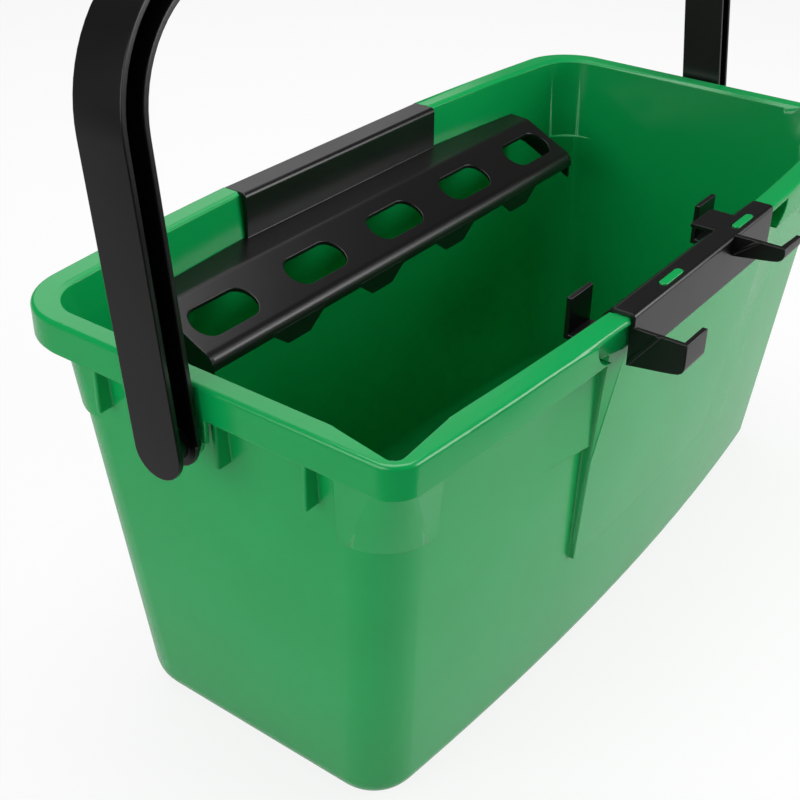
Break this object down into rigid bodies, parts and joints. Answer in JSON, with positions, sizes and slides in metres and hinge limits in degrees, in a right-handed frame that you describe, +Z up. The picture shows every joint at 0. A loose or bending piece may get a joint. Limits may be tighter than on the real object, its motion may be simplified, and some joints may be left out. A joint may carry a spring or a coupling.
{
  "type": "window cleaning bucket",
  "caption": "Long rectangular bucket with pouring spouts, a swinging bail handle, a hang-in sieve on the back rim and a clip-on tool holder on the front rim.",
  "frame": {"origin": "on the floor under the middle of the tub", "axes": "+Z up, +X along the length, -Y towards the front with the spouts and the tool holder"},
  "size_m": [0.581, 0.3057, 0.4488],
  "materials": {
    "green_plastic": "satin green",
    "black_plastic": "satin black"
  },
  "bodies": {
    "bucket": {"bucket_body": "green_plastic"},
    "bail": {"bail_handle": "black_plastic", "pivot_pin_left": "black_plastic", "pivot_pin_right": "black_plastic"},
    "sieve": {"sieve": "black_plastic"},
    "holder": {"tool_holder": "black_plastic"}
  },
  "joints": [
    {"name": "bail_swing", "type": "hinge", "parent": "bucket", "child": "bail", "pos_m": [0, 0, 0.225], "axis": [1, 0, 0], "range_deg": [-134, 146]},
    {"name": "sieve_lift", "type": "slide", "parent": "bucket", "child": "sieve", "axis": [0, 0, 1], "range_m": [0, 0.12]},
    {"name": "holder_lift", "type": "slide", "parent": "bucket", "child": "holder", "axis": [0, 0, 1], "range_m": [0, 0.06]}
  ]
}
